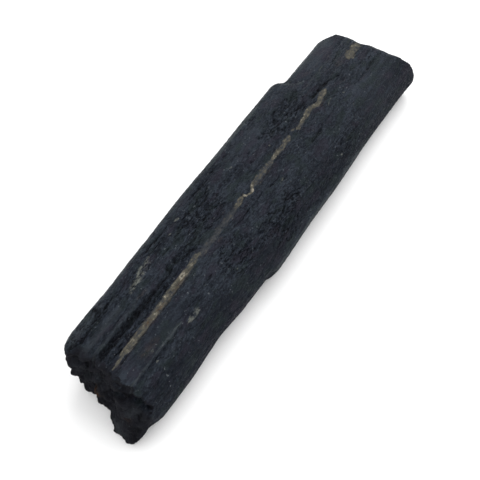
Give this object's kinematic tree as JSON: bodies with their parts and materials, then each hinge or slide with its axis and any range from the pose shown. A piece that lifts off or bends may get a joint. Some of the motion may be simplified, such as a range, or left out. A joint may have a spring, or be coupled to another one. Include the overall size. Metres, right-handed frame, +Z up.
{
  "type": "tourmaline crystal",
  "caption": "Flat black tourmaline rod lying on its side, with lengthwise striations, a tan vein in a groove, a rough broken end and a worn rounded end.",
  "frame": {"origin": "middle of the bounding rectangle, on the flat underside", "axes": "+X along the rod from its broken end to its rounded end, +Y towards the side with the notch, +Z up from the flat underside"},
  "size_m": [0.0918, 0.0208, 0.0126],
  "materials": {
    "black_tourmaline": "satin, striated and pitted"
  },
  "bodies": {
    "root": {"crystal": "black_tourmaline"}
  },
  "joints": []
}
